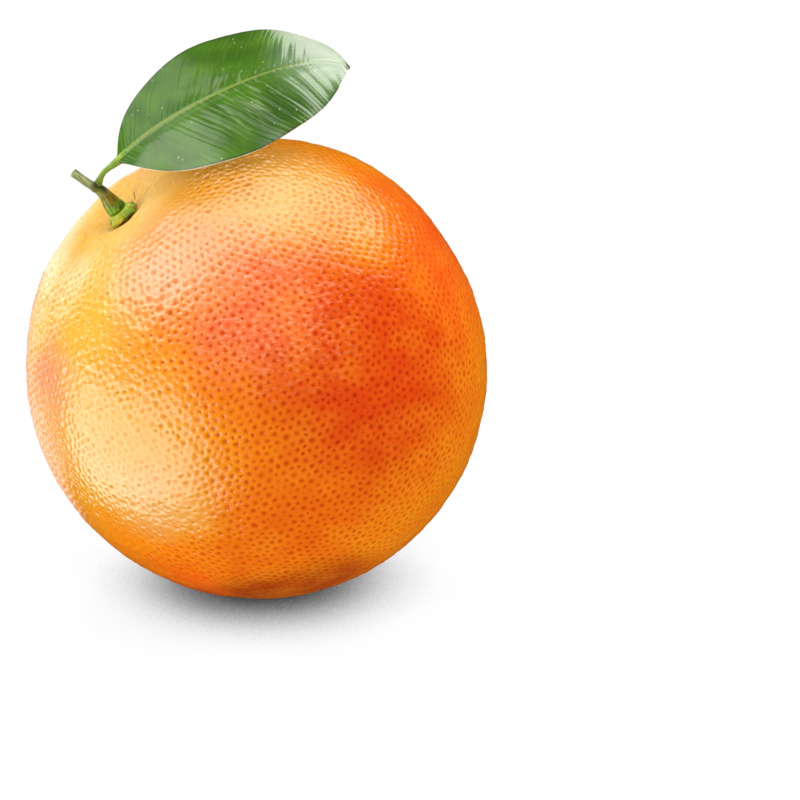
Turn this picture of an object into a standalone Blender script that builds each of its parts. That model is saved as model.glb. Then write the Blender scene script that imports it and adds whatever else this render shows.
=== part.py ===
"""A whole grapefruit with its calyx, a stub of stem and one leaf, in metres and +Z up.

The origin is the middle of the small flat spot that the fruit rests on, and -Y is the front.
Places on the fruit are polar: an angle out from the stem end, and a turn about the stem's axis
that is 0 at the front and 90 degrees to the right.
"""

import math

import bmesh
import bpy
from mathutils import Vector

MM = 0.001
GAP = 0.3 * MM  # left between one piece and the next

FRUIT_CENTRE = Vector((0.0, 0.0, 54.9 * MM))
EQUATOR_RADIUS = 55.6 * MM  # swells bring the fruit to 112 mm across
POLE_RADIUS = 56.3 * MM  # centre to stem end, before that end sinks in
STEM_AXIS = Vector((-0.590, -0.172, 0.789)).normalized()  # the fruit lies tipped to its left
FRONT = Vector((0.0, -1.0, 0.0))
TURN_ZERO = (FRONT - STEM_AXIS * FRONT.dot(STEM_AXIS)).normalized()
TURN_QUARTER = STEM_AXIS.cross(TURN_ZERO)

# The stem end sinks in by a wide shallow basin and a narrow one inside it: depth, spread.
BASINS = ((1.6 * MM, math.radians(17)), (4.3 * MM, math.radians(7.5)))
BLOSSOM_DIMPLES = ((0.8 * MM, math.radians(16)), (0.5 * MM, math.radians(3.5)))
# Furrows that run out from the stem end: turn, depth (a rib is below zero), spread of the turn.
FURROWS = (
    (math.radians(14), 0.6 * MM, math.radians(13)),
    (math.radians(62), 1.1 * MM, math.radians(20)),
    (math.radians(118), 0.5 * MM, math.radians(16)),
    (math.radians(180), -0.8 * MM, math.radians(24)),
    (math.radians(232), 0.6 * MM, math.radians(18)),
    (math.radians(302), 0.7 * MM, math.radians(16)),
)
FURROW_REACH = math.radians(18)  # they are deepest this far out from the stem end
# Low swells and hollows of the whole fruit: direction, height, spread.
SWELLS = (
    (Vector((-0.86, 0.16, 0.49)), 0.9 * MM, math.radians(15)),
    (Vector((0.41, 0.28, 0.87)), 0.8 * MM, math.radians(24)),
    (Vector((0.84, 0.17, 0.52)), -0.6 * MM, math.radians(16)),
)
FRUIT_SEGMENTS = 60
FRUIT_RINGS = 44
RING_CROWDING = 0.55  # the rings stand this much closer at the stem end
CROWDING_REACH = math.radians(30)

CALYX_LOBE_RADII = (5.4 * MM, 4.6 * MM, 5.0 * MM, 4.4 * MM, 3.8 * MM)  # an uneven star
CALYX_TURN = math.radians(-33)  # of the first lobe
CALYX_NOTCH_RADIUS = 3.5 * MM
CALYX_SEAT_RADIUS = 2.5 * MM  # flat, under the stem's foot
CALYX_SEAT_HEIGHT = 54.1 * MM  # from the fruit's centre, along the stem's axis
CALYX_EDGE = 0.9 * MM  # thickness of a lobe near its end
CALYX_SEGMENTS = 40
CALYX_RINGS = 14


def from_centre(x, y, z):
    """A point given in millimetres from the fruit's centre."""
    return FRUIT_CENTRE + Vector((x, y, z)) * MM


def along_stem_axis(distance):
    return FRUIT_CENTRE + STEM_AXIS * distance


# Middle line and radius of the stem, from its foot on the calyx to its cut end.
STEM_STATIONS = (
    (along_stem_axis(CALYX_SEAT_HEIGHT + GAP), 2.30 * MM),
    (along_stem_axis(54.9 * MM), 2.42 * MM),
    (along_stem_axis(55.8 * MM), 2.12 * MM),
    (from_centre(-34.5, -10.1, 46.4), 1.50 * MM),
    (from_centre(-36.1, -10.6, 48.1), 1.18 * MM),
    (from_centre(-37.0, -10.9, 48.7), 1.12 * MM),
    (from_centre(-38.2, -11.2, 49.5), 0.96 * MM),
    (from_centre(-39.9, -11.6, 50.9), 0.92 * MM),
    (from_centre(-41.6, -11.9, 52.3), 0.97 * MM),
)
STEM_STEPS = 3  # rings from one station to the next

# The leaf: its midrib is one Bezier curve, and each half has a width that grows and fades again.
MIDRIB = (
    from_centre(-31.4, -11.4, 55.1),
    from_centre(-22.0, -13.0, 66.5),
    from_centre(17.0, -1.6, 81.7),
    from_centre(22.5, 1.7, 73.0),
)
ACROSS_AT_BASE = Vector((0.30, -0.59, -0.75))  # towards the half that hangs lower
ACROSS_AT_TIP = Vector((0.42, -0.80, -0.43))
LOWER_HALF = (16.9 * MM, 0.82, 0.89)  # greatest width, how it grows, how it fades
UPPER_HALF = (17.7 * MM, 1.06, 1.10)
DROOP = math.radians(10)  # each half hangs down by this
EDGE_CURL = 0.6 * MM
GROOVE_DEPTH = 0.5 * MM  # the midrib lies this much below the blade beside it
GROOVE_SPREAD = 1.6 * MM
WAVE_HEIGHT = 0.3 * MM
WAVES = 3.5
BASE_HALF_WIDTH = 1.0 * MM
TIP_HALF_WIDTH = 0.35 * MM
BASE_REACH = 0.05  # share of the leaf's length over which the base stays that wide
BLADE_THICKNESS = 0.62 * MM
RIB_THICKNESS = 1.5 * MM
RIB_SPREAD = 1.1 * MM
LEAF_STEPS_ALONG = 34
LEAF_STEPS_ACROSS = 14


def clear_scene():
    for obj in list(bpy.data.objects):
        bpy.data.objects.remove(obj)


def part_collection():
    collection = bpy.data.collections.new("grapefruit")
    bpy.context.scene.collection.children.link(collection)
    return collection


def material(name, colour, roughness):
    made = bpy.data.materials.new(name)
    made.use_nodes = True
    shader = made.node_tree.nodes["Principled BSDF"]
    shader.inputs["Base Color"].default_value = (*colour, 1.0)
    shader.inputs["Roughness"].default_value = roughness
    shader.inputs["Metallic"].default_value = 0.0
    return made


def add_mesh_object(name, bm, collection, finish):
    bmesh.ops.recalc_face_normals(bm, faces=bm.faces)
    mesh = bpy.data.meshes.new(name)
    bm.to_mesh(mesh)
    bm.free()
    mesh.materials.append(finish)
    mesh.shade_smooth()
    obj = bpy.data.objects.new(name, mesh)
    collection.objects.link(obj)
    return obj


def bell(distance, spread):
    return math.exp(-((distance / spread) ** 2))


def turn_difference(a, b):
    return (a - b + math.pi) % (2 * math.pi) - math.pi


def fruit_direction(angle, turn):
    outward = TURN_ZERO * math.cos(turn) + TURN_QUARTER * math.sin(turn)
    return STEM_AXIS * math.cos(angle) + outward * math.sin(angle)


def fruit_radius(angle, turn):
    """How far the skin is from the fruit's centre."""
    radius = 1 / math.hypot(math.cos(angle) / POLE_RADIUS, math.sin(angle) / EQUATOR_RADIUS)
    radius -= sum(depth * bell(angle, spread) for depth, spread in BASINS)
    radius -= sum(depth * bell(math.pi - angle, spread) for depth, spread in BLOSSOM_DIMPLES)
    reach = (angle / FURROW_REACH) ** 2
    fade = reach * math.exp(1 - reach)
    for furrow_turn, depth, spread in FURROWS:
        radius -= depth * fade * bell(turn_difference(turn, furrow_turn), spread)
    direction = fruit_direction(angle, turn)
    for middle, height, spread in SWELLS:
        radius += height * bell(direction.angle(middle), spread)
    return radius


def build_fruit(collection):
    """A ball turned to the stem's axis, shaped by fruit_radius and cut flat where it rests."""
    bm = bmesh.new()
    bmesh.ops.create_uvsphere(bm, u_segments=FRUIT_SEGMENTS, v_segments=FRUIT_RINGS, radius=1.0)
    for vertex in bm.verts:
        even = vertex.co.angle(Vector((0, 0, 1)))
        angle = even * (1 - RING_CROWDING * math.exp(-even / CROWDING_REACH))
        turn = math.atan2(vertex.co.y, vertex.co.x)
        vertex.co = FRUIT_CENTRE + fruit_direction(angle, turn) * fruit_radius(angle, turn)
    everything = bm.verts[:] + bm.edges[:] + bm.faces[:]
    bmesh.ops.bisect_plane(
        bm, geom=everything, plane_co=(0, 0, 0), plane_no=(0, 0, -1), clear_outer=True
    )
    bmesh.ops.holes_fill(bm, edges=[edge for edge in bm.edges if edge.is_boundary])
    finish = material("orange_peel", (0.90, 0.36, 0.05), 0.38)
    fruit = add_mesh_object("fruit", bm, collection, finish)
    fruit.data.set_sharp_from_angle(angle=math.radians(40))


def calyx_outline(turn):
    lobes = len(CALYX_LOBE_RADII)
    place = (turn - CALYX_TURN) * lobes / (2 * math.pi)
    radius = CALYX_LOBE_RADII[round(place) % lobes]
    return CALYX_NOTCH_RADIUS + (radius - CALYX_NOTCH_RADIUS) * abs(math.cos(math.pi * place)) ** 0.8


def build_calyx(collection):
    """A ball pressed into a five-lobed button: its underside follows the fruit's skin, and its
    top is a flat seat that slopes off into the lobes."""
    bm = bmesh.new()
    bmesh.ops.create_uvsphere(bm, u_segments=CALYX_SEGMENTS, v_segments=CALYX_RINGS, radius=1.0)
    for vertex in bm.verts:
        side = vertex.co.z  # 1 on top, 0 at the edge, -1 below
        turn = math.atan2(vertex.co.y, vertex.co.x)
        outline = calyx_outline(turn)
        out = math.hypot(vertex.co.x, vertex.co.y) * outline
        angle = out / POLE_RADIUS
        skin = fruit_radius(angle, turn) + GAP
        if side > -0.01:
            slope = max(0.0, (out - CALYX_SEAT_RADIUS) / (outline - CALYX_SEAT_RADIUS))
            slope = slope * slope * (3 - 2 * slope)
            seat = CALYX_SEAT_HEIGHT / math.cos(angle)
            thickness = CALYX_EDGE * min(1.0, 0.35 + 3 * side)
            skin = seat + (skin + thickness - seat) * slope
        vertex.co = FRUIT_CENTRE + fruit_direction(angle, turn) * skin
    finish = material("calyx_green", (0.36, 0.46, 0.04), 0.5)
    add_mesh_object("calyx", bm, collection, finish)


def smooth_stations(stations, steps):
    """More stations on a smooth line through the given ones."""
    found = []
    last = len(stations) - 1
    for i in range(last):
        around = [stations[min(max(i + k, 0), last)] for k in (-1, 0, 1, 2)]
        for step in range(steps):
            t = step / steps
            weights = (
                (-t + 2 * t**2 - t**3) / 2,
                (2 - 5 * t**2 + 3 * t**3) / 2,
                (t + 4 * t**2 - 3 * t**3) / 2,
                (-(t**2) + t**3) / 2,
            )
            place = sum((w * point for w, (point, _) in zip(weights, around)), Vector())
            found.append((place, sum(w * radius for w, (_, radius) in zip(weights, around))))
    found.append(stations[last])
    return found


def add_tube(name, stations, sides_setting, collection, finish):
    """A round rod with closed ends, whose radius is that of each station."""
    curve = bpy.data.curves.new(name, "CURVE")
    curve.dimensions = "3D"
    curve.bevel_depth = MM
    curve.bevel_resolution = sides_setting
    curve.use_fill_caps = True
    spline = curve.splines.new("POLY")
    spline.points.add(len(stations) - 1)
    for point, (place, radius) in zip(spline.points, stations):
        point.co = (*place, 1.0)
        point.radius = radius / MM
    curve.materials.append(finish)
    collection.objects.link(bpy.data.objects.new(name, curve))


def build_stem(collection):
    stations = smooth_stations(STEM_STATIONS, STEM_STEPS)
    add_tube("stem", stations, 4, collection, material("stem_bark", (0.22, 0.25, 0.05), 0.55))


def midrib_point(t):
    weights = ((1 - t) ** 3, 3 * t * (1 - t) ** 2, 3 * t * t * (1 - t), t**3)
    return sum((w * point for w, point in zip(weights, MIDRIB)), Vector())


def leaf_axes(t):
    """Along the midrib, across it to the lower half, and up out of the blade."""
    weights = (-((1 - t) ** 2), (1 - t) * (1 - 3 * t), t * (2 - 3 * t), t**2)
    along = sum((w * point for w, point in zip(weights, MIDRIB)), Vector()).normalized()
    across = ACROSS_AT_BASE.normalized().lerp(ACROSS_AT_TIP.normalized(), t)
    across = (across - along * across.dot(along)).normalized()
    return along, across, across.cross(along)


def half_width(t, half):
    widest, grow, fade = half
    peak = grow / (grow + fade)
    width = widest * (t / peak) ** grow * ((1 - t) / (1 - peak)) ** fade
    base = BASE_HALF_WIDTH * max(0.0, 1 - t / BASE_REACH)
    return math.hypot(width, base, TIP_HALF_WIDTH * t)


def leaf_point(t, share):
    """A point of the blade's upper face: share is 1 at the lower half's edge, -1 at the other."""
    _, across, up = leaf_axes(t)
    out = abs(share) * half_width(t, LOWER_HALF if share > 0 else UPPER_HALF)
    rise = GROOVE_DEPTH * math.sin(math.pi * t) * (1 - bell(out, GROOVE_SPREAD))
    rise -= out * math.sin(DROOP) + EDGE_CURL * share**2 * math.sin(math.pi * t)
    rise += WAVE_HEIGHT * share**2 * math.sin(2 * math.pi * WAVES * t + share)
    sideways = math.copysign(out * math.cos(DROOP), share)
    return midrib_point(t) + across * sideways + up * rise, out


def build_leaf_stalk(collection):
    along, _, up = leaf_axes(0.0)
    end = MIDRIB[0] - up * (RIB_THICKNESS / 2) - along * (2 * GAP)
    stations = (
        (from_centre(-35.7, -10.7, 49.9), 0.86 * MM),
        (from_centre(-35.4, -10.8, 50.8), 0.70 * MM),
        (from_centre(-34.6, -10.9, 52.0), 0.64 * MM),
        (from_centre(-33.5, -10.8, 53.0), 0.68 * MM),
        (from_centre(-32.4, -10.8, 53.7), 0.84 * MM),
        (end, 1.05 * MM),
    )
    finish = material("stalk_green", (0.33, 0.45, 0.07), 0.45)
    add_tube("leaf_stalk", smooth_stations(stations, 3), 3, collection, finish)


def build_leaf_blade(collection):
    """A flat grid laid over the leaf's form, thickened below, most of all under the midrib."""
    bm = bmesh.new()
    bmesh.ops.create_grid(
        bm, x_segments=LEAF_STEPS_ALONG, y_segments=LEAF_STEPS_ACROSS, size=1.0
    )
    distances = []
    for vertex in bm.verts:
        t = (vertex.co.x + 1) / 2
        vertex.co, out = leaf_point(t, -vertex.co.y)
        distances.append(out)
    bmesh.ops.triangulate(bm, faces=bm.faces)
    finish = material("leaf_green", (0.06, 0.22, 0.03), 0.35)
    blade = add_mesh_object("leaf_blade", bm, collection, finish)
    rib = blade.vertex_groups.new(name="rib")
    for index, out in enumerate(distances):
        rib.add([index], bell(out, RIB_SPREAD), "REPLACE")
    solidify = blade.modifiers.new("thickness", "SOLIDIFY")
    solidify.thickness = RIB_THICKNESS
    solidify.offset = -1.0
    solidify.vertex_group = rib.name
    solidify.thickness_vertex_group = BLADE_THICKNESS / RIB_THICKNESS


clear_scene()
grapefruit = part_collection()
build_fruit(grapefruit)
build_calyx(grapefruit)
build_stem(grapefruit)
build_leaf_stalk(grapefruit)
build_leaf_blade(grapefruit)
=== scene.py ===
"""Looks of a whole grapefruit with its calyx, a stub of twig and one leaf.

Metres, +Z up, -Y to the front. Places on the fruit are polar: an angle out from the stem end, and
a turn about the stem's axis that is 0 at the front and 90 degrees to the right.
"""

import math
import random

import bpy
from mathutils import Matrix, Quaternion, Vector, noise


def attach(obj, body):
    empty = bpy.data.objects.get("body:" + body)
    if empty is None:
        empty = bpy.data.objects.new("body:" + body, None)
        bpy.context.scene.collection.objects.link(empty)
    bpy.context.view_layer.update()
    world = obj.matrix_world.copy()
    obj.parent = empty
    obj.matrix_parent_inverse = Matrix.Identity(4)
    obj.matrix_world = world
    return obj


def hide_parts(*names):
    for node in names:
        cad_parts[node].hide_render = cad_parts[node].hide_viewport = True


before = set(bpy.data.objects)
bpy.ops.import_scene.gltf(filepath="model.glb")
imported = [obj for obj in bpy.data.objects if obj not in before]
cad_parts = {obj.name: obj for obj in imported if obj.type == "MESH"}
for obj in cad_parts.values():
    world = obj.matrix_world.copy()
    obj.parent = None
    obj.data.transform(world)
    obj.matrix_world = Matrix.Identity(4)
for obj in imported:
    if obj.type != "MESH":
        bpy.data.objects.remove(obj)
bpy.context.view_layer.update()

# The whole fruit: one thick rind, golden yellow round the stem and blushed red where the sun
# reached it. Its oil glands are pits about 2 mm apart that fade out towards the stem. The stem
# end sinks in, and the rind lies flat where it rests.

MM = 0.001
FRUIT_CENTRE = Vector((0.0, 0.0, 54.9 * MM))
EQUATOR_RADIUS = 55.6 * MM
POLE_RADIUS = 56.3 * MM
STEM_AXIS = Vector((-0.590, -0.172, 0.789)).normalized()
FRONT = Vector((0.0, -1.0, 0.0))
TURN_ZERO = (FRONT - STEM_AXIS * FRONT.dot(STEM_AXIS)).normalized()
TURN_QUARTER = STEM_AXIS.cross(TURN_ZERO)
# Hollows round the stem end and the blossom end: depth, spread.
BASINS = ((1.6 * MM, math.radians(17)), (4.3 * MM, math.radians(7.5)))
BLOSSOM_DIMPLES = ((0.8 * MM, math.radians(16)), (0.5 * MM, math.radians(3.5)))
# Furrows that run out from the stem end: turn in degrees, depth in millimetres (a rib is below
# zero), spread of the turn in degrees.
FURROWS = (
    (14, 0.6, 13),
    (62, 1.1, 20),
    (118, 0.5, 16),
    (180, -0.8, 24),
    (232, 0.6, 18),
    (302, 0.7, 16),
)
FURROW_REACH = math.radians(18)
# Low swells and hollows of the whole fruit: direction, height in millimetres, spread in degrees.
SWELLS = (
    ((-0.86, 0.16, 0.49), 0.9, 15),
    ((0.50, 0.27, 0.82), 0.8, 24),
    ((0.84, 0.17, 0.52), -0.6, 12),
)

PIT_COUNT = 11000  # oil glands, about 2 mm apart
PIT_JITTER = 0.26  # share of that distance by which a gland stands off an even pattern
PIT_DEPTH = 0.34 * MM  # at the middle of a pit
RIM_DEPTH = 0.05 * MM  # at its rim
CELL_INSET = 0.26 * MM
RIM_SHARE = 0.66  # of what the inset leaves, so a pit is about 1 mm across
PITLESS_ANGLE = math.radians(9)  # smooth round the stem as far as this
PITTED_ANGLE = math.radians(26)
# The rind's unevenness: length and height of the lumps in millimetres, and how much shorter they
# are up and down.
LUMPS = ((8.0, 0.14, 1.3), (3.4, 0.14, 1.8), (1.7, 0.11, 1.6))
# Where the lumps are higher or lower than elsewhere: direction, share added, spread in degrees.
LUMP_CHANGES = (
    ((-0.77, -0.56, -0.29), -0.65, 18),
    ((-0.43, -0.73, 0.50), 0.7, 10),
    ((-0.80, -0.34, 0.48), 0.6, 10),
)
RIDGE_HEIGHT = 0.04 * MM  # of the net that stands between the pits
SMOOTH_RELIEF = 0.08  # share of the pits' depth that is left round the stem
SMOOTH_LUMPINESS = 0.3  # share of the lumps' height where there are no pits
SHALLOW_SIDE = (-0.67, -0.68, -0.30)  # where the pits are shallower
SHALLOW_SHARE = 0.3
SHALLOW_SPREAD = 22  # degrees
# How the pits' depth varies: middle share, how far it swings, how often on the way round.
PIT_VARIETY = (0.85, 0.6, 21)
# A pit's dark colour is partly the gland's own tone and partly painted shade in the pit.
RIM_MARK = 0.3  # how much of a pit's dark colour its rim takes
GLAND_SEED = 11


def bell(distance, spread):
    return math.exp(-((distance / spread) ** 2))


def smooth_step(value, low, high):
    share = min(1.0, max(0.0, (value - low) / (high - low)))
    return share * share * (3 - 2 * share)


def turn_difference(a, b):
    return (a - b + math.pi) % (2 * math.pi) - math.pi


def fruit_direction(angle, turn):
    outward = TURN_ZERO * math.cos(turn) + TURN_QUARTER * math.sin(turn)
    return STEM_AXIS * math.cos(angle) + outward * math.sin(angle)


def nearness(direction, middle, spread):
    """1 where a direction is the middle one, falling away over a spread in degrees."""
    return bell(direction.angle(Vector(middle)), math.radians(spread))


def fruit_radius(angle, turn):
    """How far the rind is from the fruit's centre."""
    radius = 1 / math.hypot(math.cos(angle) / POLE_RADIUS, math.sin(angle) / EQUATOR_RADIUS)
    radius -= sum(depth * bell(angle, spread) for depth, spread in BASINS)
    radius -= sum(depth * bell(math.pi - angle, spread) for depth, spread in BLOSSOM_DIMPLES)
    reach = (angle / FURROW_REACH) ** 2
    fade = reach * math.exp(1 - reach)
    for furrow_turn, depth, spread in FURROWS:
        aside = turn_difference(turn, math.radians(furrow_turn))
        radius -= depth * MM * fade * bell(aside, math.radians(spread))
    direction = fruit_direction(angle, turn)
    for middle, height, spread in SWELLS:
        radius += height * MM * nearness(direction, middle, spread)
    return radius


def deselect_all():
    bpy.ops.object.select_all(action="DESELECT")


def edit(mesh_object, select_mode, action):
    """Opens a mesh for editing, with everything selected or nothing."""
    bpy.context.view_layer.objects.active = mesh_object
    bpy.ops.object.mode_set(mode="EDIT")
    bpy.ops.mesh.select_mode(type=select_mode)
    bpy.ops.mesh.select_all(action=action)


def close_edit():
    bpy.ops.object.mode_set(mode="OBJECT")


def wind_gland_points(points):
    """Winds a chain of points round a ball like a spiral, each nudged off its place."""
    draw = random.Random(GLAND_SEED)
    golden_turn = math.pi * (3 - math.sqrt(5))
    nudge = PIT_JITTER * math.sqrt(4 * math.pi / len(points))
    for place, point in enumerate(points):
        height = 1 - (2 * place + 1) / len(points)
        across = math.sqrt(1 - height * height)
        turn = place * golden_turn
        nudged = [draw.uniform(-nudge, nudge) for _ in range(3)]
        point.co = Vector((across * math.cos(turn), across * math.sin(turn), height))
        point.co += Vector(nudged)
        point.co.normalize()


def cells_round_points(mesh_object):
    """Turns each point of a closed mesh into a face, and each triangle into a point."""
    group = bpy.data.node_groups.new("cells", "GeometryNodeTree")
    group.interface.new_socket("Geometry", in_out="INPUT", socket_type="NodeSocketGeometry")
    group.interface.new_socket("Geometry", in_out="OUTPUT", socket_type="NodeSocketGeometry")
    arriving = group.nodes.new("NodeGroupInput")
    leaving = group.nodes.new("NodeGroupOutput")
    dual = group.nodes.new("GeometryNodeDualMesh")
    group.links.new(arriving.outputs[0], dual.inputs["Mesh"])
    group.links.new(dual.outputs[0], leaving.inputs[0])
    cells = mesh_object.modifiers.new("cells", "NODES")
    cells.node_group = group
    bpy.ops.object.modifier_apply(modifier=cells.name)


deselect_all()
bpy.ops.mesh.primitive_circle_add(vertices=PIT_COUNT, radius=1.0)
fruit = bpy.context.object
fruit.name = "rind"
wind_gland_points(fruit.data.vertices)
edit(fruit, "VERT", "SELECT")
bpy.ops.mesh.delete(type="EDGE_FACE")
bpy.ops.mesh.select_all(action="SELECT")
bpy.ops.mesh.convex_hull(join_triangles=False)
close_edit()
cells_round_points(fruit)
edit(fruit, "FACE", "SELECT")
bpy.ops.mesh.normals_make_consistent(inside=False)
bpy.ops.mesh.inset(thickness=CELL_INSET / EQUATOR_RADIUS, depth=0.0, use_individual=True)
close_edit()
for face in fruit.data.polygons:
    if face.select:
        corners = [fruit.data.vertices[index] for index in face.vertices]
        middle = face.center.copy()
        reach = sum((corner.co - middle).length for corner in corners) / len(corners)
        for corner in corners:
            corner.co = middle + (corner.co - middle).normalized() * (reach * RIM_SHARE)
rim = {vertex.index for vertex in fruit.data.vertices if vertex.select}
before_middles = len(fruit.data.vertices)
bpy.ops.object.mode_set(mode="EDIT")
bpy.ops.mesh.poke()
close_edit()


def mark_points(mesh_object, name, values):
    """Keeps a number for each point of a mesh, for its material to read."""
    mesh_object.data.attributes.new(name, "FLOAT", "POINT").data.foreach_set("value", values)


usual_depth, depth_swing, depth_changes = PIT_VARIETY
pit_marks = [0.0] * len(fruit.data.vertices)
ridge_marks = [0.0] * len(fruit.data.vertices)
for vertex in fruit.data.vertices:
    direction = vertex.co.normalized()
    angle = direction.angle(STEM_AXIS)
    turn = math.atan2(direction.dot(TURN_QUARTER), direction.dot(TURN_ZERO))
    radius = fruit_radius(angle, turn)
    fade = smooth_step(angle, PITLESS_ANGLE, PITTED_ANGLE)
    pitted = SMOOTH_RELIEF + (1 - SMOOTH_RELIEF) * fade
    lumpiness = SMOOTH_LUMPINESS + (1 - SMOOTH_LUMPINESS) * pitted
    for middle, share, spread in LUMP_CHANGES:
        lumpiness += share * nearness(direction, middle, spread)
    for length, height, flatness in LUMPS:
        squeezed = Vector((direction.x, direction.y, direction.z * flatness))
        radius += height * MM * lumpiness * noise.noise(squeezed * (EQUATOR_RADIUS / MM / length))
    pitted *= usual_depth + depth_swing * noise.noise(direction * depth_changes)
    relief = pitted * (1 - SHALLOW_SHARE * nearness(direction, SHALLOW_SIDE, SHALLOW_SPREAD))
    if vertex.index in rim:
        radius -= RIM_DEPTH * relief
        pit_marks[vertex.index] = RIM_MARK * pitted
    elif vertex.index >= before_middles:
        radius -= PIT_DEPTH * relief
        pit_marks[vertex.index] = pitted
    else:
        radius += RIDGE_HEIGHT * relief
        ridge_marks[vertex.index] = pitted
    vertex.co = FRUIT_CENTRE + direction * radius
    vertex.co.z = max(0.0, vertex.co.z)
mark_points(fruit, "pit", pit_marks)
mark_points(fruit, "ridge_highlight", ridge_marks)
fruit.data.shade_smooth()


def new_material(name):
    finish = bpy.data.materials.new(name)
    finish.use_nodes = True
    return finish, finish.node_tree, finish.node_tree.nodes["Principled BSDF"]


def fill_inputs(tree, node, inputs):
    """Gives a node's inputs, by name or number, their values or the sockets that feed them."""
    for name, value in inputs.items():
        if isinstance(value, bpy.types.NodeSocket):
            tree.links.new(value, node.inputs[name])
        else:
            node.inputs[name].default_value = value


def add_node(tree, kind, inputs, **settings):
    node = tree.nodes.new(kind)
    for setting, value in settings.items():
        setattr(node, setting, value)
    fill_inputs(tree, node, inputs)
    return node


def calculate(tree, operation, first, second=0.0, third=0.0):
    inputs = {0: first, 1: second, 2: third}
    return add_node(tree, "ShaderNodeMath", inputs, operation=operation).outputs[0]


def multiply(tree, first, second):
    return calculate(tree, "MULTIPLY", first, second)


def multiply_add(tree, value, factor, addend):
    return calculate(tree, "MULTIPLY_ADD", value, factor, addend)


def step_between(tree, value, low, high, at_low=0.0, at_high=1.0):
    inputs = {"From Min": low, "From Max": high, "To Min": at_low, "To Max": at_high}
    inputs["Value"] = value
    settings = {"interpolation_type": "SMOOTHSTEP"}
    return add_node(tree, "ShaderNodeMapRange", inputs, **settings).outputs["Result"]


def blend(tree, share, below, above, how="MIX"):
    """Lays one colour over another; a colour is three numbers or a socket."""
    inputs = {0: share}
    for name, side in ((6, below), (7, above)):
        inputs[name] = side if isinstance(side, bpy.types.NodeSocket) else (*side, 1.0)
    return add_node(tree, "ShaderNodeMix", inputs, data_type="RGBA", blend_type=how).outputs[2]


def lay(tree, colour, mask, strength, above, how="MIX"):
    """Lays a colour over another where a mask lets it, at a strength."""
    return blend(tree, multiply(tree, mask, strength), colour, above, how)


def grain(tree, place, size, detail=2.0, roughness=0.5, output=0):
    """Noise whose lumps are about one size across, in metres, from 0 to 1."""
    inputs = {"Vector": place, "Scale": 1 / size, "Detail": detail, "Roughness": roughness}
    return add_node(tree, "ShaderNodeTexNoise", inputs).outputs[output]


def roughen(tree, shader, height, strength, depth, coated=False):
    """Gives a finish fine relief, and its coat too where it has one."""
    inputs = {"Height": height, "Strength": strength, "Distance": depth}
    relief = add_node(tree, "ShaderNodeBump", inputs).outputs[0]
    names = ("Normal", "Coat Normal") if coated else ("Normal",)
    fill_inputs(tree, shader, dict.fromkeys(names, relief))


def attribute(tree, name):
    return add_node(tree, "ShaderNodeAttribute", {}, attribute_name=name).outputs["Fac"]


def object_place(tree):
    return add_node(tree, "ShaderNodeTexCoord", {}).outputs["Object"]


def vector_math(tree, operation, first, second, output=0):
    inputs = {0: first, "Scale" if operation == "SCALE" else 1: second}
    return add_node(tree, "ShaderNodeVectorMath", inputs, operation=operation).outputs[output]


def new_mask_group(name, vectors, numbers):
    """A node group with the named inputs, what they are given, and the mask that it puts out."""
    group = bpy.data.node_groups.new(name, "ShaderNodeTree")
    for names, kind in ((vectors, "NodeSocketVector"), (numbers, "NodeSocketFloat")):
        for socket in names:
            group.interface.new_socket(socket, in_out="INPUT", socket_type=kind)
    group.interface.new_socket("Mask", in_out="OUTPUT", socket_type="NodeSocketFloat")
    given = group.nodes.new("NodeGroupInput").outputs
    return group, given, group.nodes.new("NodeGroupOutput").inputs["Mask"]


BORDER_LUMPS = 16 * MM  # size of the bays in a soft patch's border


def make_soft_patch_group():
    """A soft-edged spot on a surface: 1 at its middle, fading to 0 over its uneven border."""
    numbers = ("Reach", "Softness", "Unevenness")
    group, given, mask = new_mask_group("soft patch", ("Place", "Centre"), numbers)
    cloud = grain(group, given["Place"], BORDER_LUMPS, detail=3.0, output="Color")
    centred = vector_math(group, "SUBTRACT", cloud, (0.5, 0.5, 0.5))
    push = vector_math(group, "SCALE", centred, given["Unevenness"])
    moved = vector_math(group, "ADD", given["Place"], push)
    away = vector_math(group, "DISTANCE", moved, given["Centre"], "Value")
    fade = multiply(group, given["Reach"], given["Softness"])
    outer = calculate(group, "ADD", given["Reach"], fade)
    inner = calculate(group, "SUBTRACT", given["Reach"], fade)
    group.links.new(step_between(group, away, inner, outer, 1.0, 0.0), mask)
    return group


soft_patch = make_soft_patch_group()


def patch(tree, place, centre, reach, softness=0.6, unevenness=12 * MM):
    """The mask of one soft spot."""
    inputs = {"Place": place, "Centre": centre, "Reach": reach, "Softness": softness}
    inputs["Unevenness"] = unevenness
    return add_node(tree, "ShaderNodeGroup", inputs, node_tree=soft_patch).outputs["Mask"]


LINE_CORE = 0.4  # share of a line's reach over which it is full


def make_soft_line_group():
    """A soft line on a surface between two points: 1 along it, fading to 0 at its reach."""
    group, given, mask = new_mask_group("soft line", ("Place", "Start", "End"), ("Reach",))
    line = vector_math(group, "SUBTRACT", given["End"], given["Start"])
    place = vector_math(group, "SUBTRACT", given["Place"], given["Start"])
    advance = vector_math(group, "DOT_PRODUCT", place, line, "Value")
    length_squared = vector_math(group, "DOT_PRODUCT", line, line, "Value")
    along = calculate(group, "DIVIDE", advance, length_squared)
    along = calculate(group, "MINIMUM", calculate(group, "MAXIMUM", along, 0.0), 1.0)
    away = vector_math(group, "DISTANCE", place, vector_math(group, "SCALE", line, along), "Value")
    core = multiply(group, given["Reach"], LINE_CORE)
    group.links.new(step_between(group, away, core, given["Reach"], 1.0, 0.0), mask)
    return group


soft_line = make_soft_line_group()


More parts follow.
